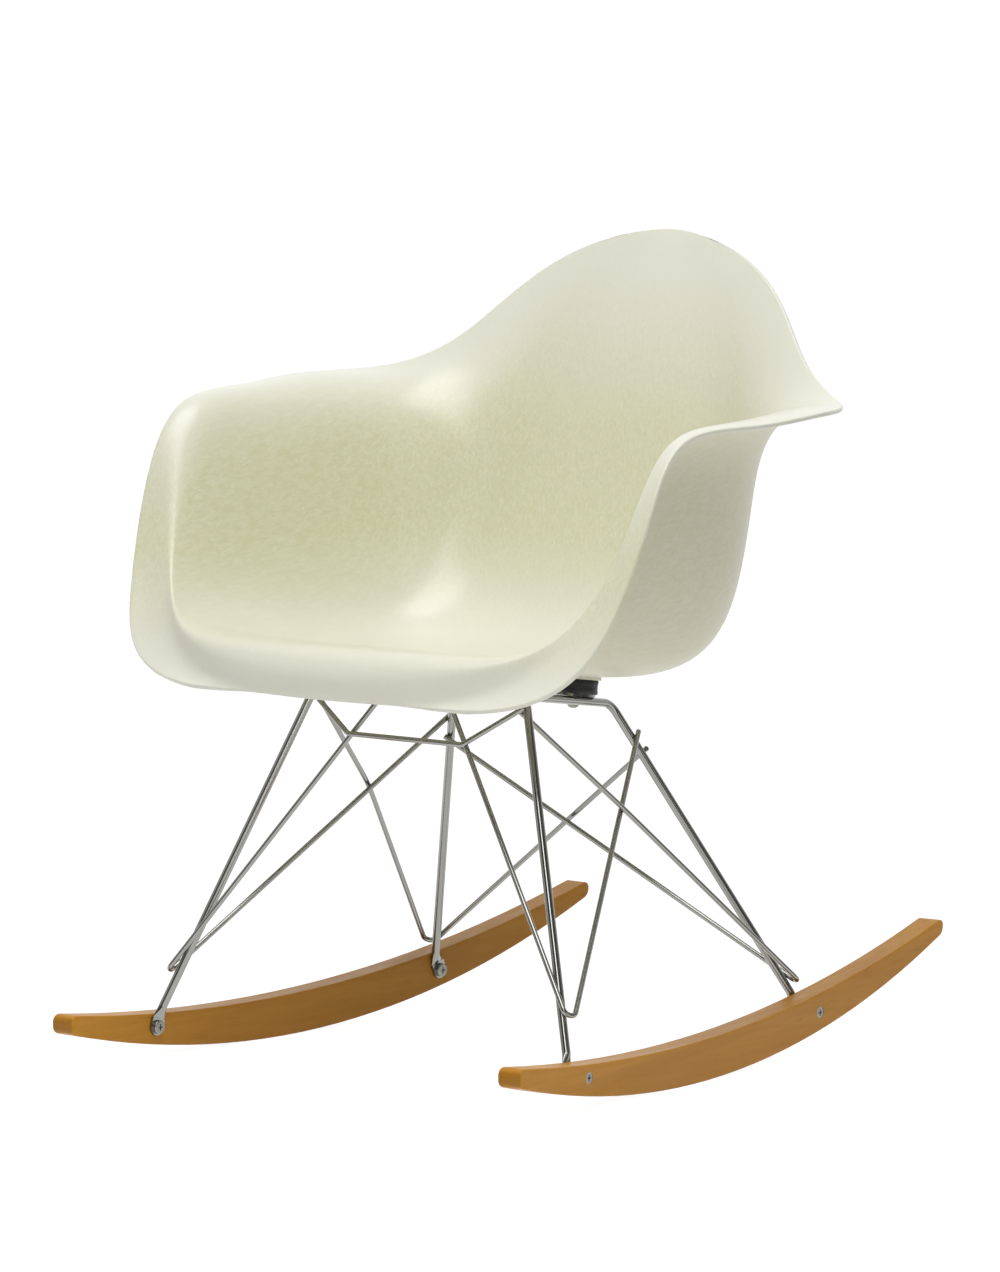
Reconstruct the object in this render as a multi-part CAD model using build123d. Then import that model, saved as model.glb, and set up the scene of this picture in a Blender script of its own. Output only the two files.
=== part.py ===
"""Rocking armchair: a moulded shell on rubber mounts, a wire base and two wooden rockers.

Millimetres. +Z is up and the front faces -Y. The origin lies on the floor, midway between the rocker tips.
Right-hand pieces are modelled and the left-hand ones are their mirror images, unless a wire has to pass
another one at the middle.
"""

import os
from math import cos, radians, sin, sqrt

from build123d import *

# Rockers, measured along and up from the middle of each rocker's sole
ROCKER_LENGTH = 717.0
ROCKER_THICKNESS = 25.0
ROCKER_SPREAD = 472.0
ROCKER_TOE = 4.1
ROCKER_RADIUS = 1150.0
ROCKER_CONTACT = -86.0
ROCKER_FRONT_HEIGHT = 18.0
ROCKER_BELLY_HEIGHT = 38.0
ROCKER_BACK_HEIGHT = 14.0
ROCKER_FRONT_ROUNDING = 0.42
ROCKER_HEEL_ROUNDING = 0.7
ROCKER_HEEL_TOP_ROUNDING = 0.35
ROCKER_EDGE = 1.5
FRONT_BOLT = -247.0
REAR_BOLT = 142.0
BOLT_ABOVE_SOLE = 17.0

# Fasteners through the rockers
SCREW_D = 5.0
SCREW_HEAD_D = 11.0
SCREW_HEAD_H = 3.0
SCREW_GRIP = 10.0
NUT_HEAD_D = 13.0
NUT_HEAD_H = 3.5
NUT_BARREL_D = 8.0
NUT_BARREL_DEPTH = 15.0
RECESS_LENGTH = 6.0
RECESS_WIDTH = 1.4
RECESS_DEPTH = 1.6
HOLE_CLEARANCE = 0.15
HEAD_SINK = 0.3

# Rods and wires of the base
ROD_D = 8.0
WIRE_D = 5.0
WELD_GAP = 0.05
TAB_D = 16.0
TAB_THICKNESS = 3.0
FLATTENED_LENGTH = 12.0
ROD_BEND = 18.0
WIRE_BEND = 7.0
CROSS_BEND = 9.0

# Top of the base: a plane that falls to the back, measured from the axis of the front cross run
FRAME_Y = -152.5
FRAME_Z = 355.0
FRAME_TILT = 8.3
HOOP_HALF_WIDTH = 121.0
RAIL_FRONT_X = 108.0
RAIL_REAR_X = 92.0
RAIL_LENGTH = 166.0

# Heights at which the wires touch the legs, and their free ends
FRONT_BRACE_FOOT_Z = 104.0
FRONT_BRACE_REACH = 48.0
FRONT_BRACE_TOP_X = 31.0
FRONT_BRACE_REAR_Z = 298.0
REAR_BRACE_FOOT_Z = 72.0
REAR_BRACE_REACH = 26.0
REAR_BRACE_FAR_Z = 284.0
REAR_BRACE_TOP_Z = 342.0
REAR_BRACE_CROSS_Z = 240.0
REAR_BRACE_KINK = 400.0
CROSS_WIRE_END_Z = 344.0
CROSS_WIRE_BEND_X = 67.0
WIRE_OVERHANG = 6.0

# Shock mounts, stacked on the frame plane
MOUNT_OFFSET = 11.0
FRONT_MOUNT_X = 70.0
REAR_MOUNT_BACK = 118.0
PLATE_D = 40.0
PLATE_THICKNESS = 2.5
MOUNT_D = 44.0
MOUNT_HEIGHT = 13.5
PAD_D = 48.0
PAD_THICKNESS = 3.0
INSERT_BARREL_D = 10.0
INSERT_HEIGHT = 9.0
INSERT_FLANGE_D = 24.0
INSERT_FLANGE_H = 2.0
MOUNT_SCREW_D = 6.0
MOUNT_SCREW_HEAD_D = 12.0
MOUNT_SCREW_HEAD_H = 7.0
MOUNT_SCREW_GRIP = 7.0
WASHER_D = 13.0
WASHER_THICKNESS = 4.0

# Shell: each row runs from the middle of the seat or back (keel) out to the rim. Heights are above
# SHELL_Z. Fullness is 1 where the row is a bucket, with a wall that stands on foot_x and turns over at
# crest_x, and 0 where it is a shallow curve. Roll is the crest's height as a share
# of the rim's, above 1 where the rim turns down, and reach is how far the rim stands before the crest.
SHELL_WALL = 4.5
SHELL_Z = FRAME_Z + ROD_D / 2 + PLATE_THICKNESS + MOUNT_HEIGHT + PAD_THICKNESS
SHELL_ROWS = [
    # keel_y, keel_z, rim_x, rim_y, rim_z, fullness, foot_x, crest_x, roll, reach
    (-302, -21, 160, -292, -19, 0.0, 100, 140, 1.0, 0),
    (-308, 11, 250, -279, -16, 0.3, 195, 246, 0.6, 18),
    (-280, 33, 287, -230, 57, 0.8, 230, 268, 1.0, 18),
    (-205, 17, 296, -187, 187, 1.0, 230, 269, 1.02, 10),
    (-120, -1, 293, -142, 233, 1.0, 222, 262, 1.05, 3),
    (-40, -12, 310, -45, 227, 1.0, 212, 252, 1.08, 0),
    (35, -12, 316, 46, 236, 1.0, 201, 234, 1.08, 0),
    (100, 26, 293, 121, 232, 1.0, 165, 190, 1.0, 0),
    (140, 127, 196, 158, 252, 0.7, 108, 142, 1.02, 0),
    (180, 272, 134, 210, 350, 0.35, 82, 112, 1.0, 0),
    (228, 375, 50, 222, 368, 0.0, 30, 40, 1.0, 0),
]
SHALLOW_X = (0.2, 0.4, 0.6, 0.8)
SHALLOW_Y = (0.1, 0.3, 0.55, 0.8)
SHALLOW_Z = (0.05, 0.2, 0.45, 0.72)
BUCKET_Y = (0.0, 0.15, 0.55, 1.0)
BUCKET_Z = (0.0, 0.0, 0.5)
WALL_LEAN = 0.6
SHELL_SAMPLES = 41
SPLINE_DEGREE = 3

ROD_R = ROD_D / 2
WIRE_R = WIRE_D / 2
ROD_TO_WIRE = ROD_R + WIRE_R + WELD_GAP
FRAME_BACK = Vector(0, cos(radians(FRAME_TILT)), -sin(radians(FRAME_TILT)))
FRAME_UP = Vector(0, sin(radians(FRAME_TILT)), cos(radians(FRAME_TILT)))
TOE_BACK = Vector(-sin(radians(ROCKER_TOE)), cos(radians(ROCKER_TOE)), 0)
TOE_OUT = Vector(cos(radians(ROCKER_TOE)), sin(radians(ROCKER_TOE)), 0)


def mirrored(shape):
    """The left-hand copy of a right-hand piece."""
    return mirror(shape, about=Plane.YZ)


def flipped(point):
    """The left-hand copy of a right-hand point."""
    return Vector(-point.X, point.Y, point.Z)


def sole_height(along):
    """Height of the rocker's sole above the floor."""
    return ROCKER_RADIUS - sqrt(ROCKER_RADIUS**2 - (along - ROCKER_CONTACT) ** 2)


def rocker_point(along, height, out):
    """Point on the right rocker: out is counted from its middle plane, away from the chair."""
    return Vector(ROCKER_SPREAD / 2, 0, height) + TOE_BACK * along + TOE_OUT * out


def bolt_plane(along, out):
    """Plane square to a rocker bolt, facing away from the chair."""
    centre = rocker_point(along, sole_height(along) + BOLT_ABOVE_SOLE, out)
    return Plane(origin=centre, x_dir=TOE_BACK, z_dir=TOE_OUT)


def frame_point(x, back):
    """Point on the frame plane, a distance behind the front cross run."""
    return Vector(x, FRAME_Y, FRAME_Z) + FRAME_BACK * back


def disc(plane, diameter, start, end):
    """Round bar along a plane's normal, between two heights."""
    return extrude(plane.offset(start) * Circle(diameter / 2), end - start)


def rod(path, diameter):
    """Round rod or wire along a path."""
    return sweep(Plane(origin=path @ 0, z_dir=path % 0) * Circle(diameter / 2), path=path)


def cross_recess(plane, top, depth):
    """Cross-shaped driver recess, sunk from a height along the plane's normal."""
    cross = Rectangle(RECESS_LENGTH, RECESS_WIDTH) + Rectangle(RECESS_WIDTH, RECESS_LENGTH)
    return extrude(plane.offset(top) * cross, -depth)


def rocker():
    """Right rocker with its bolt holes, stepped for the barrel nuts."""
    half = ROCKER_LENGTH / 2
    front = (-half, sole_height(-half))
    back = (half, sole_height(half))
    front_top = (-half, front[1] + ROCKER_FRONT_HEIGHT)
    back_top = (half, back[1] + ROCKER_BACK_HEIGHT)
    sole = ThreePointArc(front, (ROCKER_CONTACT, 0), back)
    crown = ThreePointArc(back_top, (ROCKER_CONTACT, ROCKER_BELLY_HEIGHT), front_top)
    outline = make_face(sole + Line(back, back_top) + crown + Line(front_top, front))
    corners = outline.vertices().sort_by(Axis.X)
    outline = fillet(corners[:2], ROCKER_FRONT_ROUNDING * ROCKER_FRONT_HEIGHT)
    heel = outline.vertices().sort_by(Axis.X)[-2:].sort_by(Axis.Y)[0]
    outline = fillet(heel, ROCKER_HEEL_ROUNDING * ROCKER_BACK_HEIGHT)
    heel_top = outline.vertices().sort_by(Axis.Y)[-1]
    outline = fillet(heel_top, ROCKER_HEEL_TOP_ROUNDING * ROCKER_BACK_HEIGHT)
    middle = Plane(origin=rocker_point(0, 0, 0), x_dir=TOE_BACK, z_dir=TOE_OUT)
    blank = extrude(middle * outline, ROCKER_THICKNESS / 2, both=True)
    faces = blank.faces().filter_by(Axis(origin=(0, 0, 0), direction=TOE_OUT))
    blank = fillet(faces.edges(), ROCKER_EDGE)
    for along in (FRONT_BOLT, REAR_BOLT):
        blank -= rocker_hole(along)
    return blank


def rocker_hole(along):
    """Stepped and countersunk hole for one screw and its barrel nut."""
    plane = bolt_plane(along, -ROCKER_THICKNESS / 2)
    barrel_end = NUT_BARREL_DEPTH + HOLE_CLEARANCE
    barrel = disc(plane, NUT_BARREL_D + 2 * HOLE_CLEARANCE, -TAB_THICKNESS, barrel_end)
    shank = disc(plane, SCREW_D + 2 * HOLE_CLEARANCE, 0, ROCKER_THICKNESS)
    return barrel + shank + screw_head(along, HOLE_CLEARANCE) + head_mouth(along)


def head_mouth(along):
    """Short round mouth that lets the screw head sit below the rocker's face."""
    plane = bolt_plane(along, ROCKER_THICKNESS / 2)
    return disc(plane, SCREW_HEAD_D + 2 * HOLE_CLEARANCE, -HEAD_SINK, HEAD_SINK)


def screw_head(along, clearance):
    """Countersunk head, sunk just under the rocker's outer face."""
    plane = bolt_plane(along, ROCKER_THICKNESS / 2 - HEAD_SINK)
    wide = plane * Circle(SCREW_HEAD_D / 2 + clearance)
    narrow = plane.offset(-SCREW_HEAD_H) * Circle(SCREW_D / 2 + clearance)
    return loft([narrow, wide])


def rocker_screw(along):
    """Countersunk screw with a cross recess."""
    plane = bolt_plane(along, ROCKER_THICKNESS / 2 - HEAD_SINK)
    tip = HEAD_SINK - ROCKER_THICKNESS + NUT_BARREL_DEPTH - SCREW_GRIP
    screw = screw_head(along, 0) + disc(plane, SCREW_D, tip, -SCREW_HEAD_H)
    return screw - cross_recess(plane, 0, RECESS_DEPTH)


def rocker_nut(along):
    """Barrel nut whose head holds the leg tab against the rocker's inner face."""
    plane = bolt_plane(along, -ROCKER_THICKNESS / 2 - TAB_THICKNESS)
    nut = disc(plane, NUT_HEAD_D, -NUT_HEAD_H, 0)
    nut = fillet(nut.faces().sort_by(Axis.X)[0].edges(), NUT_HEAD_H * 0.4)
    nut += disc(plane, NUT_BARREL_D, 0, TAB_THICKNESS + NUT_BARREL_DEPTH)
    mouth = TAB_THICKNESS + NUT_BARREL_DEPTH
    nut -= disc(plane, SCREW_D + 2 * HOLE_CLEARANCE, mouth - SCREW_GRIP - HOLE_CLEARANCE, mouth)
    return nut - cross_recess(plane, -NUT_HEAD_H + RECESS_DEPTH, RECESS_DEPTH)


def ankle(along, top):
    """Where a round leg starts, above its flattened tab, and the tab's direction in the rocker plane."""
    bolt = rocker_point(along, sole_height(along) + BOLT_ABOVE_SOLE, 0)
    rise = top - bolt
    rise = (rise - TOE_OUT * rise.dot(TOE_OUT)).normalized()
    out = -ROCKER_THICKNESS / 2 - ROD_R - WELD_GAP
    return bolt + rise * (TAB_D / 2 + FLATTENED_LENGTH) + TOE_OUT * out, rise


def leg_tab(along, top):
    """Flattened lower end of a leg: the rod spreads into a round tab with a hole for the barrel nut."""
    start, rise = ankle(along, top)
    bolt = bolt_plane(along, -ROCKER_THICKNESS / 2 - TAB_THICKNESS)
    plane = Plane(origin=bolt.origin, x_dir=rise, z_dir=TOE_OUT)
    strip = Pos(TAB_D / 4, 0) * Rectangle(TAB_D / 2, TAB_D) + Circle(TAB_D / 2)
    tab = extrude(plane * strip, TAB_THICKNESS)
    flat_centre = plane.origin + TOE_OUT * (TAB_THICKNESS / 2) + rise * (TAB_D / 2)
    flat = Plane(origin=flat_centre, x_dir=rise.cross(TOE_OUT), z_dir=rise)
    round_end = Plane(origin=start, x_dir=rise.cross(TOE_OUT), z_dir=(top - start).normalized())
    neck = loft([flat * Ellipse(TAB_D / 2, TAB_THICKNESS / 2), round_end * Circle(ROD_R)])
    return tab + neck - disc(plane, NUT_BARREL_D + 2 * HOLE_CLEARANCE, 0, TAB_THICKNESS)


def front_hoop():
    """Both front legs and the cross run, bent from one rod."""
    corner = frame_point(HOOP_HALF_WIDTH, 0)
    foot, _ = ankle(FRONT_BOLT, corner)
    path = FilletPolyline(foot, corner, flipped(corner), flipped(foot), radius=ROD_BEND)
    tab = leg_tab(FRONT_BOLT, corner)
    return rod(path, ROD_D) + tab + mirrored(tab)


def rear_frame():
    """Right rear leg bent forwards into the side rail, which ends on the front cross run."""
    corner = frame_point(RAIL_REAR_X, RAIL_LENGTH)
    foot, _ = ankle(REAR_BOLT, corner)
    skew = abs(RAIL_FRONT_X - RAIL_REAR_X) / RAIL_LENGTH
    end = frame_point(RAIL_FRONT_X, ROD_R * (1 + skew) + WELD_GAP)
    path = FilletPolyline(foot, corner, end, radius=ROD_BEND)
    return rod(path, ROD_D) + leg_tab(REAR_BOLT, corner)


def front_leg_at(height):
    """Axis point of the right front leg at a height, and the leg's direction."""
    return leg_at(FRONT_BOLT, frame_point(HOOP_HALF_WIDTH, 0), height)


def rear_leg_at(height):
    """Axis point of the right rear leg at a height, and the leg's direction."""
    return leg_at(REAR_BOLT, frame_point(RAIL_REAR_X, RAIL_LENGTH), height)


def leg_at(along, top, height):
    """Axis point of a leg at a height, and its direction."""
    foot, _ = ankle(along, top)
    direction = (top - foot).normalized()
    return foot + direction * ((height - foot.Z) / direction.Z), direction


def beside(axis_point, axis, wire, towards, distance):
    """Point where a wire's axis passes a rod, on the side that faces a given direction."""
    normal = axis.cross(wire).normalized()
    if normal.dot(towards) < 0:
        normal = -normal
    return axis_point + normal * distance


def front_brace_line():
    """Upper end and leg contact of the front brace's inner arm."""
    run = frame_point(FRONT_BRACE_TOP_X, 0)
    leg, leg_direction = front_leg_at(FRONT_BRACE_FOOT_Z)
    forwards = Vector(0, -1, 0)
    upper = beside(run, Vector(1, 0, 0), leg - run, forwards, ROD_TO_WIRE)
    lower = beside(leg, leg_direction, leg - run, forwards, ROD_TO_WIRE)
    return upper, lower


def front_brace_points():
    """Upper end, lowest bend and rear end of the right front V wire."""
    upper, lower = front_brace_line()
    down = (lower - upper).normalized()
    apex = lower + down * FRONT_BRACE_REACH
    leg, leg_direction = rear_leg_at(FRONT_BRACE_REAR_Z)
    end = beside(leg, leg_direction, apex - leg, Vector(1, 0, 0), ROD_TO_WIRE)
    end += (end - apex).normalized() * WIRE_OVERHANG
    return upper - down * WIRE_R, apex, end


def front_brace():
    """Right front V wire: from the cross run, round the foot of the front leg, to the rear leg."""
    return rod(FilletPolyline(*front_brace_points(), radius=WIRE_BEND), WIRE_D)


def rear_brace(far_side):
    """Right rear V wire: from the left rear leg, round the foot of its own leg, to the front leg's top.

    It is welded to the outer side of the front V wire where they cross. far_side is the side of the left
    leg that it passes, so that the two rear braces clear each other.
    """
    leg, leg_direction = rear_leg_at(REAR_BRACE_FOOT_Z)
    other, other_direction = rear_leg_at(REAR_BRACE_FAR_Z)
    other = flipped(other)
    across = (other - leg).normalized()
    lower = beside(leg, leg_direction, across, Vector(0, 1, 0), ROD_TO_WIRE)
    far = beside(other, flipped(other_direction), across, far_side, ROD_TO_WIRE)
    out = (lower - far).normalized()
    apex = lower + out * REAR_BRACE_REACH
    front, front_direction = front_leg_at(REAR_BRACE_TOP_Z)
    top = beside(front, front_direction, apex - front, Vector(-1, 0, 0), ROD_TO_WIRE)
    _, crossed, crossed_end = front_brace_points()
    crossed_direction = (crossed_end - crossed).normalized()
    crossing = crossed + crossed_direction * ((REAR_BRACE_CROSS_Z - crossed.Z) / crossed_direction.Z)
    touch = beside(crossing, crossed_direction, top - apex, Vector(1, 0, 0), WIRE_D + WELD_GAP)
    top += (top - touch).normalized() * WIRE_R
    path = FilletPolyline(far - out * WIRE_R, apex, touch, top, radius=[WIRE_BEND, REAR_BRACE_KINK])
    return rod(path, WIRE_D)


def cross_wire():
    """Wire between the front legs that dips to lie on the two front braces."""
    upper, lower = front_brace_line()
    share = (CROSS_WIRE_BEND_X - upper.X) / (lower.X - upper.X)
    on_brace = upper + (lower - upper) * share
    forwards = (lower - upper).cross(Vector(1, 0, 0)).normalized()
    if forwards.Y > 0:
        forwards = -forwards
    bend = on_brace + forwards * (WIRE_D + WELD_GAP)
    leg, leg_direction = front_leg_at(CROSS_WIRE_END_Z)
    end = beside(leg, leg_direction, bend - leg, Vector(0, -1, 0), ROD_TO_WIRE)
    path = FilletPolyline(end, bend, flipped(bend), flipped(end), radius=CROSS_BEND)
    return rod(path, WIRE_D)


def spline_point(poles, share):
    """Point of a clamped uniform cubic spline, share runs from 0 to 1."""
    spans = len(poles) - SPLINE_DEGREE
    knots = [0] * SPLINE_DEGREE + list(range(spans + 1)) + [spans] * SPLINE_DEGREE
    place = share * spans
    span = min(int(place), spans - 1) + SPLINE_DEGREE
    level = list(poles[span - SPLINE_DEGREE : span + 1])
    for step in range(1, SPLINE_DEGREE + 1):
        for i in range(SPLINE_DEGREE, step - 1, -1):
            low = knots[span - SPLINE_DEGREE + i]
            high = knots[span + 1 + i - step]
            part = (place - low) / (high - low)
            level[i] = tuple(a + (b - a) * part for a, b in zip(level[i - 1], level[i]))
    return level[SPLINE_DEGREE]


def row_poles(keel_y, keel_z, rim_x, rim_y, rim_z, fullness, foot_x, crest_x, roll, reach):
    """Spline poles of one shell row, from the left rim over the keel to the right rim."""
    wall_x = foot_x + (crest_x - foot_x) * WALL_LEAN
    bucket_x = (foot_x / 2, foot_x, wall_x, crest_x)
    bucket_z = (*BUCKET_Z, roll)
    right = []
    for i, share in enumerate(SHALLOW_X):
        x = share * rim_x * (1 - fullness) + bucket_x[i] * fullness
        y_share = SHALLOW_Y[i] * (1 - fullness) + BUCKET_Y[i] * fullness
        z_share = SHALLOW_Z[i] * (1 - fullness) + bucket_z[i] * fullness
        y = keel_y + (rim_y + reach - keel_y) * y_share
        right.append((x, y, keel_z + (rim_z - keel_z) * z_share))
    right.append((rim_x, rim_y, rim_z))
    left = [(-x, y, z) for x, y, z in reversed(right)]
    return left + [(0, keel_y, keel_z)] + right


def shell_grid():
    """Points of the shell's upper face, row by row from the front edge to the top of the back."""
    rows = [row_poles(*row) for row in SHELL_ROWS]
    shares = [i / (SHELL_SAMPLES - 1) for i in range(SHELL_SAMPLES)]
    grid = []
    for row_share in shares:
        poles = [spline_point(column, row_share) for column in zip(*rows)]
        grid.append([Vector(*spline_point(poles, share)) + Vector(0, 0, SHELL_Z) for share in shares])
    return grid


def lower_grid(grid):
    """The same points moved through the wall. Rim points take the direction of the point next to them."""
    last = len(grid) - 1
    moved = []
    for i, row in enumerate(grid):
        inner_i = min(max(i, 1), last - 1)
        line = []
        for j, point in enumerate(row):
            inner_j = min(max(j, 1), last - 1)
            across = grid[inner_i][inner_j + 1] - grid[inner_i][inner_j - 1]
            along = grid[inner_i + 1][inner_j] - grid[inner_i - 1][inner_j]
            line.append(point - across.cross(along).normalized() * SHELL_WALL)
        moved.append(line)
    return moved


def seat_shell():
    """Closed solid between the two faces of the shell."""
    upper = Face.make_surface_from_array_of_points(shell_grid())
    lower = Face.make_surface_from_array_of_points(lower_grid(shell_grid()))
    rim = []
    for edge in upper.edges():
        partner = min(lower.edges(), key=lambda other: (other @ 0.5 - edge @ 0.5).length)
        rim.append(Face.make_surface_from_curves(edge, partner))
    return Solid(Shell([upper, lower] + rim))


def mount_plane(x, back):
    """Plane on top of the rods at one shock mount."""
    return Plane(origin=frame_point(x, back) + FRAME_UP * ROD_R, x_dir=(1, 0, 0), z_dir=FRAME_UP)


def mount_plate(plane):
    """Steel disc that is welded on top of the rod."""
    plate = disc(plane, PLATE_D, WELD_GAP, PLATE_THICKNESS)
    return plate - disc(plane, MOUNT_SCREW_D + 4 * HOLE_CLEARANCE, 0, PLATE_THICKNESS)


def mount_insert(plane):
    """Threaded steel insert with a flange."""
    insert = disc(plane, INSERT_BARREL_D, PLATE_THICKNESS, PLATE_THICKNESS + INSERT_HEIGHT)
    insert += disc(plane, INSERT_FLANGE_D, PLATE_THICKNESS, PLATE_THICKNESS + INSERT_FLANGE_H)
    bore_end = PLATE_THICKNESS + MOUNT_SCREW_GRIP + HOLE_CLEARANCE
    return insert - disc(plane, MOUNT_SCREW_D + 2 * HOLE_CLEARANCE, 0, bore_end)


def shock_mount(plane):
    """Rubber disc moulded round the insert."""
    block = disc(plane, MOUNT_D, PLATE_THICKNESS, PLATE_THICKNESS + MOUNT_HEIGHT)
    top = PLATE_THICKNESS + INSERT_HEIGHT
    flange_top = PLATE_THICKNESS + INSERT_FLANGE_H
    block -= disc(plane, INSERT_BARREL_D, PLATE_THICKNESS, top)
    return block - disc(plane, INSERT_FLANGE_D, PLATE_THICKNESS, flange_top)


def mount_pad(plane, shell):
    """Resin pad that fills the space between the rubber and the underside of the shell."""
    start = PLATE_THICKNESS + MOUNT_HEIGHT
    column = disc(plane, PAD_D, start, start + PAD_D)
    return (column - shell).solids().sort_by(Axis(plane.origin, plane.z_dir))[0]


def mount_screw(plane):
    """Round-head screw that holds the rubber to its plate."""
    head = disc(plane, MOUNT_SCREW_HEAD_D, -WASHER_THICKNESS - MOUNT_SCREW_HEAD_H, -WASHER_THICKNESS)
    head = fillet(head.faces().sort_by(Axis.Z)[0].edges(), MOUNT_SCREW_HEAD_H * 0.7)
    return head + disc(plane, MOUNT_SCREW_D, -WASHER_THICKNESS, PLATE_THICKNESS + MOUNT_SCREW_GRIP)


def mount_washer(plane):
    """Thick washer under a mount screw's head."""
    washer = disc(plane, WASHER_D, -WASHER_THICKNESS, WELD_GAP)
    return washer - disc(plane, MOUNT_SCREW_D + 2 * HOLE_CLEARANCE, -WASHER_THICKNESS, WELD_GAP)


def mount_positions():
    """Plane of each right-hand shock mount. Each rod passes beside its mount's screw."""
    rail_share = REAR_MOUNT_BACK / RAIL_LENGTH
    rail_x = RAIL_FRONT_X + (RAIL_REAR_X - RAIL_FRONT_X) * rail_share
    return {
        "front": mount_plane(FRONT_MOUNT_X, MOUNT_OFFSET),
        "rear": mount_plane(rail_x - MOUNT_OFFSET, REAR_MOUNT_BACK),
    }


def build():
    """All nodes by name."""
    shell = seat_shell()
    rear = rear_frame()
    front_v = front_brace()
    wood = rocker()
    screws = [rocker_screw(along) for along in (FRONT_BOLT, REAR_BOLT)]
    nuts = [rocker_nut(along) for along in (FRONT_BOLT, REAR_BOLT)]
    nodes = {
        "seat_shell": shell,
        "front_hoop": front_hoop(),
        "rear_frame_right": rear,
        "rear_frame_left": mirrored(rear),
        "front_brace_right": front_v,
        "front_brace_left": mirrored(front_v),
        "rear_brace_right": rear_brace(Vector(0, -1, 0)),
        "rear_brace_left": mirrored(rear_brace(Vector(0, 1, 0))),
        "front_cross_wire": cross_wire(),
        "rocker_right": wood,
        "rocker_left": mirrored(wood),
        "rocker_screws": Compound(screws + [mirrored(screw) for screw in screws]),
        "rocker_nuts": Compound(nuts + [mirrored(nut) for nut in nuts]),
    }
    mount_screws = []
    washers = []
    for end, plane in mount_positions().items():
        pieces = {
            "mount_plate": mount_plate(plane),
            "mount_insert": mount_insert(plane),
            "shock_mount": shock_mount(plane),
            "mount_pad": mount_pad(plane, shell),
        }
        for name, piece in pieces.items():
            nodes[f"{name}_{end}_right"] = piece
            nodes[f"{name}_{end}_left"] = mirrored(piece)
        screw = mount_screw(plane)
        washer = mount_washer(plane)
        mount_screws += [screw, mirrored(screw)]
        washers += [washer, mirrored(washer)]
    nodes["mount_screws"] = Compound(mount_screws)
    nodes["mount_washers"] = Compound(washers)
    return nodes


os.makedirs("parts", exist_ok=True)
for name, shape in build().items():
    export_step(shape, f"parts/{name}.step")
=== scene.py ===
"""Rocking armchair: looks of the moulded shell, the wire base, the rubber mounts and the rockers."""

import math

import bmesh
import bpy
from bpy.props import FloatProperty, FloatVectorProperty, IntProperty, PointerProperty
from mathutils import Matrix, Vector


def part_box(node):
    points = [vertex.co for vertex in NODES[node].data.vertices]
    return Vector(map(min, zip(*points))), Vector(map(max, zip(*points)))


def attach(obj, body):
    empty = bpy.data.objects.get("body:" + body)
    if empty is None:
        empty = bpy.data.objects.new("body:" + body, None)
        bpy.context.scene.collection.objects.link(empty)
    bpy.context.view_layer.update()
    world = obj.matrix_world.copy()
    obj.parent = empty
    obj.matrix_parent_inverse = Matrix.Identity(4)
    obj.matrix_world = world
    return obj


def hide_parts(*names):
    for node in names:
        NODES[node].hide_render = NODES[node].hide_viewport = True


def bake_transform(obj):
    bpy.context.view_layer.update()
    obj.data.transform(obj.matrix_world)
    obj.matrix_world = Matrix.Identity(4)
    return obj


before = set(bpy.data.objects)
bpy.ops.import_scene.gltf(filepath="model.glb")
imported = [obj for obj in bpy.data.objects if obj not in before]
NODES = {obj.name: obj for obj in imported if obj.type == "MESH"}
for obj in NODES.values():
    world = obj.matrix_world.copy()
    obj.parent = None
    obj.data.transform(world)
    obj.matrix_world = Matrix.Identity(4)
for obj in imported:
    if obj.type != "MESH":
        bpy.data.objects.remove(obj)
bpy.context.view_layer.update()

bl_info = {
    "name": "Rocking Armchair",
    "version": (1, 0, 0),
    "blender": (4, 5, 0),
    "location": "View3D > Sidebar > Rocking Armchair",
    "description": "Builds the shell and rubber mounts of a rocking armchair, its finishes and a stage",
    "category": "Object",
}

MM = 0.001

# Shell: each row runs from the middle of the seat or back, the keel, out to the rim. Sizes are in
# millimetres, with heights above the shell's datum. Fullness is 1 where the row is a bucket, with a wall
# that stands on foot_x and turns over at crest_x, and 0 where it is a shallow curve. Roll is the crest's
# height above the keel as a share of the rim's, over 1 where the rim turns down. Reach is how far the rim
# stands in front of the crest.
SHELL_ROWS = (
    # keel_y, keel_z, rim_x, rim_y, rim_z, fullness, foot_x, crest_x, roll, reach
    (-302, -21, 160, -292, -19, 0.0, 100, 140, 1.0, 0),
    (-308, 11, 250, -279, -16, 0.3, 195, 246, 0.6, 18),
    (-280, 33, 287, -230, 57, 0.8, 230, 268, 1.0, 18),
    (-205, 17, 296, -187, 187, 1.0, 230, 269, 1.02, 10),
    (-120, -1, 293, -142, 233, 1.0, 222, 262, 1.05, 3),
    (-40, -12, 310, -45, 227, 1.0, 212, 252, 1.08, 0),
    (35, -12, 316, 46, 236, 1.0, 201, 234, 1.08, 0),
    (100, 26, 293, 121, 232, 1.0, 165, 190, 1.0, 0),
    (140, 127, 196, 158, 252, 0.7, 108, 142, 1.02, 0),
    (180, 272, 134, 210, 350, 0.35, 82, 112, 1.0, 0),
    (228, 375, 50, 222, 368, 0.0, 30, 40, 1.0, 0),
)

# Poles of a row, as shares of the way from the keel to the rim. A bucket's places across come from foot_x
# and crest_x, with the wall's middle pole between them, and its last height is the row's roll.
SHALLOW_X = (0.2, 0.4, 0.6, 0.8)
SHALLOW_Y = (0.1, 0.3, 0.55, 0.8)
SHALLOW_Z = (0.05, 0.2, 0.45, 0.72)
BUCKET_Y = (0.0, 0.15, 0.55, 1.0)
BUCKET_Z = (0.0, 0.0, 0.5)
WALL_LEAN = 0.6
SPLINE_DEGREE = 3

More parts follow.
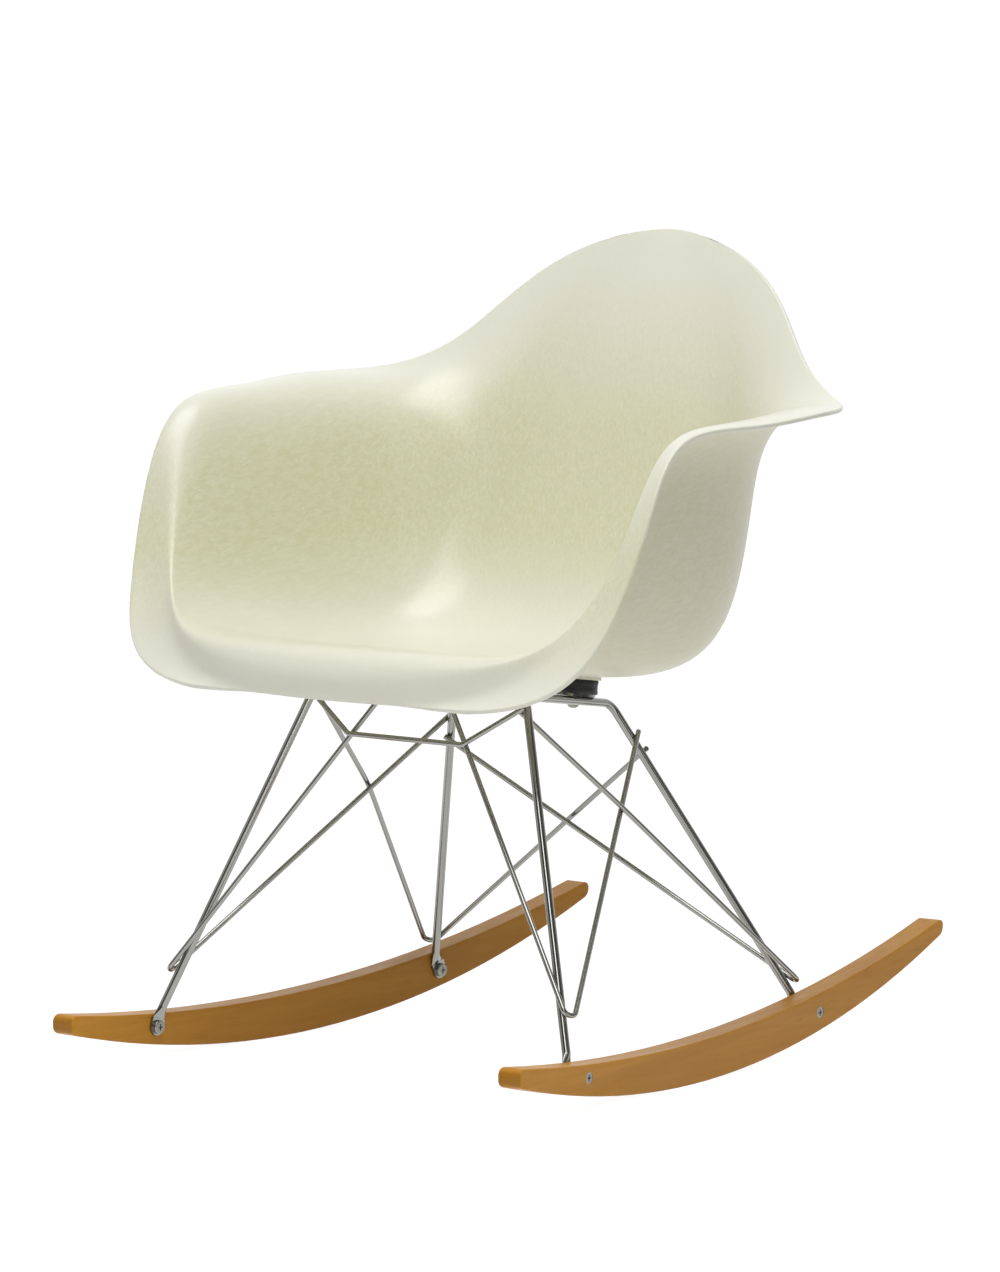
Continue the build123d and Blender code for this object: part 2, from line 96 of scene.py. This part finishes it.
# Skin of the shell: a square grid, from minus to plus half its side, takes the form of the rows. A point's
# place on the grid is rounded to a few digits, so that each line of points is worked out once. The rim is
# rounded less within the taper's length of the grid's four corners.
GRID_HALF = 0.5
GRID_DIGITS = 6
FLANGE_LAYER = "flange"
RIM_LAYER = "bevel_weight_edge"
RIM_SEGMENTS = 4
CORNER_TAPER = 40 * MM

# Painted shade on the resin: heights above the datum between which it darkens the colour, as if the walls
# of the bowl lay in shade, and fades again towards the top. On a flange it fades too, between two shares
# of the way to the rim, where it stands above the crest's heights, so that the flanges stay pale as if
# lit.
SHADE_RISE = (0, 90 * MM)
SHADE_FALL = (190 * MM, 340 * MM)
SHADE_CREST = (120 * MM, 230 * MM)
SHADE_FLANGE = (0.82, 0.97)

# Strands in the resin: the turn of each layer, in radians, and the shares of it about X, Y and Z
STRAND_TURNS = (0.0, 0.9, 1.9, 2.6)
STRAND_TURN_SHARES = (0.6, 0.4, 1.0)

# Rubber discs: faces round the side, and the distance within which points are merged
DISC_STEPS = 64
MERGE_DISTANCE = 0.001 * MM

MOUNT_NAMES = ("front_right", "front_left", "rear_right", "rear_left")
ROD_NODES = ("front_hoop", "rear_frame_right", "rear_frame_left")
WIRE_NODES = (
    "front_brace_right",
    "front_brace_left",
    "rear_brace_right",
    "rear_brace_left",
    "front_cross_wire",
)
PLATE_NODES = tuple(f"mount_plate_{name}" for name in MOUNT_NAMES)
ROCKER_NODES = ("rocker_right", "rocker_left")
FASTENER_NODES = ("rocker_screws", "rocker_nuts", "mount_screws", "mount_washers")
INSERT_NODES = tuple(f"mount_insert_{name}" for name in MOUNT_NAMES)
PAD_NODES = tuple(f"mount_pad_{name}" for name in MOUNT_NAMES)

# Sockets of a Mix node that mixes colours: the factor and the two colours, and then the result
MIX_INPUTS = (0, 6, 7)
MIX_OUTPUT = 2

# Camera: the width of the photograph's frame, and of the sensor
PHOTO_WIDTH_PX = 1000
SENSOR_MM = 36.0

# Floor, in metres: it runs far behind the chair and ends just past the lower edge of the picture. Its glow
# is mixed with its lit colour, so that it looks white and still keeps the shadow.
FLOOR_WIDTH = 3.0
FLOOR_LENGTH = 18.0
FLOOR_FRONT = 1.9
FLOOR_GLOW = 1.26
FLOOR_GLOW_SHARE = 0.75

# Sky: its level behind the chair and where the camera stands, and the cosines, measured from the direction
# of the camera, between which it changes
WHITE = (1, 1, 1)
SKY_PALE = 1.0
SKY_DIM = 0.1
SKY_BEHIND = -0.9
SKY_FRONT = 0.3

# Lamps: soft discs, in metres and watts. The last two give the front legs their long streaks.
CHAIR_MIDDLE = (0, 0, 0.4)
RIGHT_LEG_MIDDLE = (0.18, -0.2, 0.2)
LEFT_LEG_MIDDLE = (-0.18, -0.2, 0.2)
LAMPS = (
    # name, place, aim, width, power
    ("overhead", (0.4, -0.9, 3.25), CHAIR_MIDDLE, 3.1, 78),
    ("left", (-2.6, -2.8, 1.8), CHAIR_MIDDLE, 2.4, 6.5),
    ("right", (3.6, -0.9, 1.6), CHAIR_MIDDLE, 2.0, 10),
    ("front", (1.0, -3.4, 0.5), CHAIR_MIDDLE, 1.6, 4),
    ("front_high", (1.45, -2.08, 2.15), RIGHT_LEG_MIDDLE, 1.1, 10),
    ("front_low", (1.58, -2.87, 0.1), LEFT_LEG_MIDDLE, 0.4, 2),
)


class ShellProperties(bpy.types.PropertyGroup):
    """Sizes and colours of the moulded shell."""

    datum: FloatProperty(
        name="Datum",
        description="Height that the shell's rows are measured from",
        default=378 * MM,
        unit="LENGTH",
    )
    wall: FloatProperty(
        name="Wall", description="Thickness of the moulding", default=4.5 * MM, unit="LENGTH"
    )
    rim_round: FloatProperty(
        name="Rim Rounding", description="Radius of the rim's edges", default=1.6 * MM, unit="LENGTH"
    )
    columns: IntProperty(name="Columns", description="Faces from arm to arm", default=132)
    rows: IntProperty(name="Rows", description="Faces from the front edge to the top", default=132)
    # The resin's own colour. The seat, the flanges and the top keep it because the painted shade of the
    # bowl leaves them pale, as if lit.
    pale_colour: FloatVectorProperty(
        name="Pale Colour",
        description="Parchment resin on the seat, the flanges and the top",
        default=(0.765, 0.77, 0.665),
        subtype="COLOR",
    )
    # Painted shade: this colour is mixed over the walls of the bowl to darken them as if they lay in
    # shade. A little of it also gives the resin its random cloudy tone.
    shade_and_cloud_colour: FloatVectorProperty(
        name="Deep Colour",
        description="Parchment resin in the walls of the bowl, where it lies thicker",
        default=(0.66, 0.648, 0.43),
        subtype="COLOR",
    )
    under_colour: FloatVectorProperty(
        name="Under Colour",
        description="Parchment resin on the unpolished outer side",
        default=(0.70, 0.685, 0.475),
        subtype="COLOR",
    )
    fibre_colour: FloatVectorProperty(
        name="Fibre Colour",
        description="Strands in the resin",
        default=(0.81, 0.805, 0.67),
        subtype="COLOR",
    )


class MountProperties(bpy.types.PropertyGroup):
    """Sizes and colour of the rubber shock mounts."""

    tilt: FloatProperty(
        name="Tilt",
        description="Fall of the frame to the back",
        default=math.radians(8.3),
        subtype="ANGLE",
    )
    diameter: FloatProperty(
        name="Diameter", description="Width of a rubber disc", default=44 * MM, unit="LENGTH"
    )
    height: FloatProperty(
        name="Height", description="Thickness of a rubber disc", default=13.5 * MM, unit="LENGTH"
    )
    lip: FloatProperty(
        name="Lip", description="Rounding of the rubber's edges", default=1.2 * MM, unit="LENGTH"
    )
    waist: FloatProperty(
        name="Waist", description="How far the side draws in", default=0.6 * MM, unit="LENGTH"
    )
    colour: FloatVectorProperty(
        name="Colour", description="Black rubber", default=(0.012, 0.012, 0.012), subtype="COLOR"
    )


class FinishProperties(bpy.types.PropertyGroup):
    """Colours of the wood and the metal."""

    maple_light: FloatVectorProperty(
        name="Maple Light",
        description="Pale bands of the wood",
        default=(0.56, 0.257, 0.022),
        subtype="COLOR",
    )
    maple_dark: FloatVectorProperty(
        name="Maple Dark",
        description="Dark bands of the wood",
        default=(0.43, 0.178, 0.011),
        subtype="COLOR",
    )
    chrome: FloatVectorProperty(
        name="Chrome",
        description="Plated rods and wires",
        default=(0.34, 0.338, 0.315),
        subtype="COLOR",
    )
    zinc: FloatVectorProperty(
        name="Zinc",
        description="Plated screws and nuts",
        default=(0.32, 0.315, 0.29),
        subtype="COLOR",
    )


class StageProperties(bpy.types.PropertyGroup):
    """Camera and floor."""

    azimuth: FloatProperty(
        name="Azimuth",
        description="Camera's turn to the right",
        default=math.radians(38.025),
        subtype="ANGLE",
    )
    elevation: FloatProperty(
        name="Elevation", description="Camera's rise", default=math.radians(6.717), subtype="ANGLE"
    )
    distance: FloatProperty(
        name="Distance", description="From the camera to its target", default=11.0792, unit="LENGTH"
    )
    target: FloatVectorProperty(
        name="Target",
        description="Point in the middle of the picture",
        default=(0.01949, -0.06112, 0.39519),
        subtype="TRANSLATION",
    )
    focal_px: FloatProperty(
        name="Focal Length", description="In pixels of the photograph", default=11992.7, subtype="PIXEL"
    )
    floor: FloatVectorProperty(
        name="Floor", description="Pale floor", default=(0.86, 0.86, 0.86), subtype="COLOR"
    )


def spline_point(poles, share):
    """Point of a clamped uniform cubic spline, where share runs from 0 to 1."""
    spans = len(poles) - SPLINE_DEGREE
    knots = [0] * SPLINE_DEGREE + list(range(spans + 1)) + [spans] * SPLINE_DEGREE
    place = share * spans
    span = min(int(place), spans - 1) + SPLINE_DEGREE
    level = [Vector(pole) for pole in poles[span - SPLINE_DEGREE : span + 1]]
    for step in range(1, SPLINE_DEGREE + 1):
        for i in range(SPLINE_DEGREE, step - 1, -1):
            low = knots[span - SPLINE_DEGREE + i]
            high = knots[span + 1 + i - step]
            level[i] = level[i - 1].lerp(level[i], (place - low) / (high - low))
    return level[SPLINE_DEGREE]


def row_poles(keel_y, keel_z, rim_x, rim_y, rim_z, fullness, foot_x, crest_x, roll, reach):
    """Spline poles of one shell row, from the left rim over the keel to the right rim."""
    wall_x = foot_x + (crest_x - foot_x) * WALL_LEAN
    bucket_x = (foot_x / 2, foot_x, wall_x, crest_x)
    bucket_z = (*BUCKET_Z, roll)
    right = []
    for i, share in enumerate(SHALLOW_X):
        x = share * rim_x * (1 - fullness) + bucket_x[i] * fullness
        y_share = SHALLOW_Y[i] * (1 - fullness) + BUCKET_Y[i] * fullness
        z_share = SHALLOW_Z[i] * (1 - fullness) + bucket_z[i] * fullness
        y = keel_y + (rim_y + reach - keel_y) * y_share
        right.append((x, y, keel_z + (rim_z - keel_z) * z_share))
    right.append((rim_x, rim_y, rim_z))
    left = [(-x, y, z) for x, y, z in reversed(right)]
    return left + [(0, keel_y, keel_z)] + right


def new_piece(name, mesh_builder, material, body=None):
    """Smooth object from a bmesh, at the origin, with a material, which may ride on a body."""
    mesh = bpy.data.meshes.new(name)
    mesh_builder.to_mesh(mesh)
    mesh_builder.free()
    mesh.shade_smooth()
    piece = bpy.data.objects.new(name, mesh)
    bpy.context.scene.collection.objects.link(piece)
    mesh.materials.append(material)
    if body:
        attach(piece, body)
    return piece


def paint(names, material):
    """Gives CAD nodes a material."""
    for name in names:
        slots = NODES[name].data.materials
        slots.clear()
        slots.append(material)


def shaded(colour, share):
    """A colour made darker, or lighter where the share is over 1."""
    return [channel * share for channel in colour]


class Nodes:
    """A node tree, with short ways to add nodes and join them."""

    def __init__(self, tree):
        self.tree = tree

    def feed(self, value, socket):
        """Links an output to a socket, or sets the socket's own value."""
        if hasattr(value, "is_output"):
            self.tree.links.new(value, socket)
        elif socket.type == "RGBA":
            socket.default_value = (*value[:3], 1.0)
        else:
            socket.default_value = value

    def node(self, kind, **values):
        """Adds a node. Keys that are socket names feed sockets, and other keys set properties."""
        made = self.tree.nodes.new("ShaderNode" + kind)
        for key, value in values.items():
            socket = made.inputs.get(key.replace("_", " "))
            if socket is None:
                setattr(made, key, value)
            else:
                self.feed(value, socket)
        return made

    def math(self, operation, first, second):
        """One arithmetic step."""
        made = self.node("Math", operation=operation)
        self.feed(first, made.inputs[0])
        self.feed(second, made.inputs[1])
        return made.outputs[0]

    def spread(self, value, low, high, to_low=0.0, to_high=1.0):
        """Maps a range of a value to another range."""
        made = self.node(
            "MapRange", Value=value, From_Min=low, From_Max=high, To_Min=to_low, To_Max=to_high
        )
        return made.outputs["Result"]

    def fade(self, value, low, high):
        """From 1 below a range of a value to 0 above it."""
        return self.spread(value, low, high, to_low=1.0, to_high=0.0)

    def mix(self, factor, first, second):
        """Mixes two colours. Each is an output or a colour."""
        made = self.node("Mix", data_type="RGBA")
        for index, value in zip(MIX_INPUTS, (factor, first, second)):
            self.feed(value, made.inputs[index])
        return made.outputs[MIX_OUTPUT]

    def tint(self, colour, mask, share, other):
        """Mixes a share of another colour into a colour where a mask shows."""
        return self.mix(self.math("MULTIPLY", mask, share), colour, other)

    def blend(self, factor, first, second):
        """Mixes the outputs of two shaders."""
        made = self.node("MixShader")
        for socket, value in zip(made.inputs, (factor, first, second)):
            self.feed(value, socket)
        return made.outputs[0]


class Finish(Nodes):
    """A material whose node tree is filled from its shader backwards."""

    def __init__(self, name):
        self.material = bpy.data.materials.new(name)
        self.material.use_nodes = True
        super().__init__(self.material.node_tree)
        self.shader = self.tree.nodes["Principled BSDF"]

    def set(self, **values):
        """Feeds the shader's sockets. Underscores in their names stand for spaces."""
        for key, value in values.items():
            self.feed(value, self.shader.inputs[key.replace("_", " ")])

    def noise(self, scale, detail=3.0, stretch=(1, 1, 1), turn=(0, 0, 0), distortion=0.0):
        """Noise from 0 to 1 on object coordinates, which are scaled and turned first."""
        coordinates = self.node("TexCoord").outputs["Object"]
        vector = self.node("Mapping", Vector=coordinates, Scale=stretch, Rotation=turn).outputs["Vector"]
        made = self.node("TexNoise", Vector=vector, Scale=scale, Detail=detail, Distortion=distortion)
        return made.outputs["Fac"]

    def bump(self, height, strength, distance):
        """Relief on the shader's normal."""
        made = self.node("Bump", Height=height, Strength=strength, Distance=distance)
        self.set(Normal=made.outputs["Normal"])


def painted_bowl_shade(finish, datum):
    """Painted shade: 1 in the bowl's walls, which it darkens as if they lay in shade, 0 on the seat, the
    high flanges and the top, which stay pale as if lit.
    """
    place = finish.node("TexCoord").outputs["Object"]
    height = finish.node("SeparateXYZ", Vector=place).outputs["Z"]
    flange = finish.node("Attribute", attribute_name=FLANGE_LAYER).outputs["Fac"]
    rise = finish.spread(height, *(datum + level for level in SHADE_RISE))
    fall = finish.fade(height, *(datum + level for level in SHADE_FALL))
    below_crest = finish.fade(height, *(datum + level for level in SHADE_CREST))
    inside_flange = finish.fade(flange, *SHADE_FLANGE)
    walls = finish.math("MAXIMUM", below_crest, inside_flange)
    return finish.math("MULTIPLY", finish.math("MULTIPLY", rise, fall), walls)


def resin_strands(finish):
    """Short strands of glass that lie in every direction."""
    strands = None
    for turn in STRAND_TURNS:
        turned = tuple(turn * share for share in STRAND_TURN_SHARES)
        layer = finish.noise(scale=420, detail=2.0, stretch=(1, 0.12, 0.5), turn=turned, distortion=0.6)
        layer = finish.spread(layer, low=0.50, high=0.72)
        strands = layer if strands is None else finish.math("MAXIMUM", strands, layer)
    return strands


def shell_finish(name, sizes, pale, roughness, coat):
    """Glass-fibre in tinted resin under a clear skin, with painted shade that deepens the colour in the
    walls of the bowl.
    """
    finish = Finish(name)
    # Painted shade: the bowl's walls take the darker colour, as if they lay in shade.
    colour = finish.mix(painted_bowl_shade(finish, sizes.datum), pale, sizes.shade_and_cloud_colour)
    strands = resin_strands(finish)
    cloud = finish.spread(finish.noise(scale=9, detail=4.0), low=0.3, high=0.7)
    colour = finish.tint(colour, strands, share=0.45, other=sizes.fibre_colour)
    colour = finish.tint(colour, cloud, share=0.1, other=sizes.shade_and_cloud_colour)
    dulling = finish.spread(strands, low=0, high=1, to_low=roughness, to_high=roughness + 0.06)
    finish.set(Base_Color=colour, Roughness=dulling, Coat_Weight=coat, Coat_Roughness=0.3, IOR=1.5)
    finish.bump(cloud, strength=0.1, distance=0.6 * MM)
    return finish.material


def chrome_finish(name, colour, roughness):
    """Bright plating with a little uneven polish."""
    finish = Finish(name)
    polish = finish.noise(scale=45, detail=2.0)
    cloud = finish.spread(finish.noise(scale=20), low=0.35, high=0.65)
    clouded = finish.mix(cloud, colour, shaded(colour, share=0.94))
    dulling = finish.spread(polish, low=0.3, high=0.7, to_low=roughness * 0.7, to_high=roughness * 1.3)
    finish.set(Base_Color=clouded, Roughness=dulling, Metallic=1.0)
    finish.bump(polish, strength=0.02, distance=0.02 * MM)
    return finish.material


def zinc_finish(name, colour):
    """Dull plating of the screws and nuts."""
    finish = Finish(name)
    grain = finish.noise(scale=600)
    clouded = finish.mix(grain, colour, shaded(colour, share=0.8))
    dulling = finish.spread(grain, low=0.3, high=0.7, to_low=0.26, to_high=0.42)
    finish.set(Base_Color=clouded, Roughness=dulling, Metallic=1.0)
    finish.bump(grain, strength=0.08, distance=0.2 * MM)
    return finish.material


def maple_finish(name, light, dark):
    """Lacquered wood with its grain along the rocker, soft flecks and a darker end grain."""
    finish = Finish(name)
    bands = finish.noise(scale=26, detail=5.0, stretch=(1.0, 0.09, 1.4), distortion=0.8)
    bands = finish.spread(bands, low=0.32, high=0.68)
    streaks = finish.spread(finish.noise(scale=170, stretch=(1.0, 0.035, 1.0)), low=0.35, high=0.7)
    flecks = finish.noise(scale=330, detail=2.0, stretch=(1.0, 0.12, 1.0))
    flecks = finish.spread(flecks, low=0.6, high=0.75)
    normal = finish.node("NewGeometry").outputs["Normal"]
    facing = finish.node("SeparateXYZ", Vector=normal).outputs["Y"]
    ends = finish.math("MULTIPLY", facing, facing)
    ends = finish.spread(ends, low=0.35, high=0.8, to_low=0.0, to_high=0.75)
    colour = finish.tint(light, bands, share=0.55, other=dark)
    colour = finish.tint(colour, streaks, share=0.30, other=dark)
    colour = finish.tint(colour, flecks, share=0.25, other=shaded(dark, share=0.7))
    colour = finish.mix(ends, colour, shaded(dark, share=0.78))
    dulling = finish.spread(streaks, low=0, high=1, to_low=0.34, to_high=0.46)
    finish.set(Base_Color=colour, Roughness=dulling, Specular_IOR_Level=0.25)
    finish.bump(streaks, strength=0.05, distance=0.3 * MM)
    return finish.material


def rubber_finish(name, colour):
    """Matt black rubber with a moulded skin and a faint bloom."""
    finish = Finish(name)
    skin = finish.noise(scale=900)
    bloom = finish.spread(finish.noise(scale=60), low=0.45, high=0.7)
    bloomed = finish.tint(colour, bloom, share=0.5, other=shaded(colour, share=1.8))
    dulling = finish.spread(skin, low=0.3, high=0.7, to_low=0.42, to_high=0.6)
    finish.set(Base_Color=bloomed, Roughness=dulling)
    finish.bump(skin, strength=0.15, distance=0.2 * MM)
    return finish.material


class CHAIR_OT_shell(bpy.types.Operator):
    """Moulds the one-piece shell with its turned-over rim, and finishes its pads."""

    bl_idname = "chair.shell"
    bl_label = "Shell"

    def execute(self, context):
        sizes = context.scene.chair_shell
        polished = shell_finish("parchment_fibre", sizes, sizes.pale_colour, roughness=0.32, coat=0.55)
        unpolished = shell_finish("parchment_under", sizes, sizes.under_colour, roughness=0.4, coat=0.3)
        shell = new_piece("shell_moulding", self.skin(sizes), polished, "shell")
        shell.data.materials.append(unpolished)
        self.thicken(shell, sizes)
        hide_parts("seat_shell")
        paint(PAD_NODES, shell_finish("pad_resin", sizes, sizes.pale_colour, roughness=0.5, coat=0.0))
        return {"FINISHED"}

    @classmethod
    def skin(cls, sizes):
        """Inner face of the shell: a grid whose points are moved onto the rows' spline surface."""
        grid = bmesh.new()
        bmesh.ops.create_grid(grid, x_segments=sizes.columns, y_segments=sizes.rows, size=GRID_HALF)
        flange = grid.verts.layers.float.new(FLANGE_LAYER)
        columns = list(zip(*[row_poles(*row) for row in SHELL_ROWS]))
        datum = Vector((0, 0, sizes.datum))
        lines = {}
        for vert in grid.verts:
            across, along = (round(share + GRID_HALF, GRID_DIGITS) for share in vert.co.xy)
            if along not in lines:
                lines[along] = [spline_point(column, along) for column in columns]
            vert[flange] = abs(2 * across - 1)
            vert.co = spline_point(lines[along], across) * MM + datum
        cls.weigh_rim(grid)
        return grid

    @staticmethod
    def weigh_rim(grid):
        """Marks the rim for rounding, less and less towards the four corners of the grid."""
        weight = grid.edges.layers.float.new(RIM_LAYER)
        corners = [vert.co for vert in grid.verts if len(vert.link_edges) == 2]
        for edge in grid.edges:
            if edge.is_boundary:
                middle = (edge.verts[0].co + edge.verts[1].co) / 2
                near = min((middle - corner).length for corner in corners)
                edge[weight] = min(1.0, near / CORNER_TAPER)

    @staticmethod
    def thicken(shell, sizes):
        """Gives the skin its wall, with the second material on the outer side, and rounds the rim."""
        wall = shell.modifiers.new("Wall", "SOLIDIFY")
        wall.thickness = sizes.wall
        wall.offset = -1.0
        wall.material_offset = 1
        rim = shell.modifiers.new("Rim", "BEVEL")
        rim.width = sizes.rim_round
        rim.segments = RIM_SEGMENTS
        rim.limit_method = "WEIGHT"
        rim.use_clamp_overlap = False


class CHAIR_OT_rubber(bpy.types.Operator):
    """Turns the four rubber discs that carry the shell."""

    bl_idname = "chair.rubber"
    bl_label = "Shock Mounts"

    def execute(self, context):
        sizes = context.scene.chair_mounts
        material = rubber_finish("black_rubber", sizes.colour)
        for name in MOUNT_NAMES:
            low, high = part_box(f"shock_mount_{name}")
            place = Matrix.Translation((low + high) / 2) @ Matrix.Rotation(-sizes.tilt, 4, "X")
            disc = new_piece(f"rubber_{name}", self.turned(sizes, place), material)
            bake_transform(disc)
            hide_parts(f"shock_mount_{name}")
        return {"FINISHED"}

    @staticmethod
    def turned(sizes, place):
        """Solid of revolution: a disc with rounded edges and a side that draws in a little."""
        radius, half = sizes.diameter / 2, sizes.height / 2
        section = (
            (0, -half),
            (radius - sizes.lip, -half),
            (radius, -half + sizes.lip),
            (radius - sizes.waist, -half / 3),
            (radius - sizes.waist, half / 3),
            (radius, half - sizes.lip),
            (radius - sizes.lip, half),
            (0, half),
        )
        disc = bmesh.new()
        verts = [disc.verts.new((r, 0, z)) for r, z in section]
        edges = [disc.edges.new(pair) for pair in zip(verts, verts[1:])]
        bmesh.ops.spin(
            disc,
            geom=verts + edges,
            cent=(0, 0, 0),
            axis=(0, 0, 1),
            angle=math.tau,
            steps=DISC_STEPS,
            use_merge=True,
        )
        bmesh.ops.remove_doubles(disc, verts=disc.verts, dist=MERGE_DISTANCE)
        bmesh.ops.recalc_face_normals(disc, faces=disc.faces)
        bmesh.ops.transform(disc, matrix=place, verts=disc.verts)
        return disc


class CHAIR_OT_finishes(bpy.types.Operator):
    """Finishes the rods, wires, rockers and fasteners of the base."""

    bl_idname = "chair.finishes"
    bl_label = "Base Finishes"

    def execute(self, context):
        colours = context.scene.chair_finishes
        chrome = chrome_finish("bright_chrome", colours.chrome, roughness=0.13)
        paint(ROD_NODES + WIRE_NODES + PLATE_NODES, chrome)
        paint(FASTENER_NODES + INSERT_NODES, zinc_finish("zinc_plate", colours.zinc))
        paint(ROCKER_NODES, maple_finish("honey_maple", colours.maple_light, colours.maple_dark))
        return {"FINISHED"}


class CHAIR_OT_stage(bpy.types.Operator):
    """Sets the camera, the pale floor and the soft light."""

    bl_idname = "chair.stage"
    bl_label = "Stage"

    def execute(self, context):
        stage = context.scene.chair_stage
        away = self.camera(context, stage)
        self.floor(stage)
        self.world(context, away)
        for lamp in LAMPS:
            self.lamp(context, *lamp)
        context.scene.view_settings.view_transform = "Standard"
        return {"FINISHED"}

    @staticmethod
    def camera(context, stage):
        """Camera at the photograph's angle. Gives the direction from the chair to it."""
        a, e = stage.azimuth, stage.elevation
        away = Vector((math.sin(a) * math.cos(e), -math.cos(a) * math.cos(e), math.sin(e)))
        data = bpy.data.cameras.new("camera")
        data.sensor_fit = "HORIZONTAL"
        data.sensor_width = SENSOR_MM
        data.lens = stage.focal_px * SENSOR_MM / PHOTO_WIDTH_PX
        eye = bpy.data.objects.new("camera", data)
        eye.location = Vector(stage.target) + away * stage.distance
        eye.rotation_euler = away.to_track_quat("Z", "Y").to_euler()
        context.scene.collection.objects.link(eye)
        context.scene.camera = eye
        return away

    @staticmethod
    def floor(stage):
        """Large pale floor that keeps a soft shadow and looks white to the camera and in the metal."""
        ground = bmesh.new()
        bmesh.ops.create_grid(ground, x_segments=2, y_segments=8, size=GRID_HALF)
        turn = Matrix.Rotation(stage.azimuth, 4, "Z")
        place = Matrix.Translation((0, FLOOR_LENGTH / 2 - FLOOR_FRONT, 0))
        spread = Matrix.Diagonal((FLOOR_WIDTH, FLOOR_LENGTH, 1, 1))
        bmesh.ops.transform(ground, verts=ground.verts, matrix=turn @ place @ spread)
        finish = Finish("pale_floor")
        finish.set(Base_Color=stage.floor, Roughness=0.9)
        path = finish.node("LightPath").outputs
        seen = finish.math("MAXIMUM", path["Is Camera Ray"], path["Is Glossy Ray"])
        seen = finish.math("MAXIMUM", seen, path["Is Transmission Ray"])
        share = finish.math("MULTIPLY", seen, FLOOR_GLOW_SHARE)
        glow = finish.node("Emission", Strength=FLOOR_GLOW)
        surface = finish.blend(share, finish.shader.outputs[0], glow.outputs[0])
        finish.feed(surface, finish.tree.nodes["Material Output"].inputs["Surface"])
        new_piece("floor", ground, finish.material)

    @staticmethod
    def world(context, away):
        """Sky that is white to the camera.

        Its light, and what the metal shows of it, is the same white behind the chair and dim where the
        camera stands.
        """
        world = bpy.data.worlds.new("studio")
        context.scene.world = world
        world.use_nodes = True
        sky = Nodes(world.node_tree)
        toward = sky.node("VectorMath", operation="DOT_PRODUCT")
        sky.feed(sky.node("TexCoord").outputs["Generated"], toward.inputs[0])
        sky.feed(away, toward.inputs[1])
        level = sky.spread(toward.outputs["Value"], SKY_BEHIND, SKY_FRONT, SKY_PALE, SKY_DIM)
        light = world.node_tree.nodes["Background"]
        sky.feed(WHITE, light.inputs["Color"])
        sky.feed(level, light.inputs["Strength"])
        white = sky.node("Background", Color=WHITE)
        seen = sky.node("LightPath").outputs["Is Camera Ray"]
        surface = sky.blend(seen, light.outputs[0], white.outputs[0])
        sky.feed(surface, world.node_tree.nodes["World Output"].inputs["Surface"])

    @staticmethod
    def lamp(context, name, place, aim, width, power):
        """Soft round lamp."""
        data = bpy.data.lights.new(name, "AREA")
        data.shape = "DISK"
        data.size = width
        data.energy = power
        lamp = bpy.data.objects.new(name, data)
        lamp.location = place
        lamp.rotation_euler = (Vector(place) - Vector(aim)).to_track_quat("Z", "Y").to_euler()
        context.scene.collection.objects.link(lamp)


class CHAIR_PT_panel(bpy.types.Panel):
    """Lists the steps that build the chair."""

    bl_label = "Rocking Armchair"
    bl_space_type = "VIEW_3D"
    bl_region_type = "UI"
    bl_category = "Rocking Armchair"

    def draw(self, context):
        for operator in OPERATORS:
            self.layout.operator(operator.bl_idname)


OPERATORS = (CHAIR_OT_shell, CHAIR_OT_rubber, CHAIR_OT_finishes, CHAIR_OT_stage)
GROUPS = {
    "chair_shell": ShellProperties,
    "chair_mounts": MountProperties,
    "chair_finishes": FinishProperties,
    "chair_stage": StageProperties,
}
CLASSES = (*GROUPS.values(), *OPERATORS, CHAIR_PT_panel)


def register():
    """Registers the classes and their settings."""
    for item in CLASSES:
        bpy.utils.register_class(item)
    for name, group in GROUPS.items():
        setattr(bpy.types.Scene, name, PointerProperty(type=group))


def unregister():
    """Removes the settings and the classes."""
    for name in GROUPS:
        delattr(bpy.types.Scene, name)
    for item in reversed(CLASSES):
        bpy.utils.unregister_class(item)


def main():
    """Builds the chair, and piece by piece."""
    register()
    bpy.ops.chair.shell()
    bpy.ops.chair.rubber()
    bpy.ops.chair.finishes()
    bpy.ops.chair.stage()


if __name__ == "__main__":
    main()
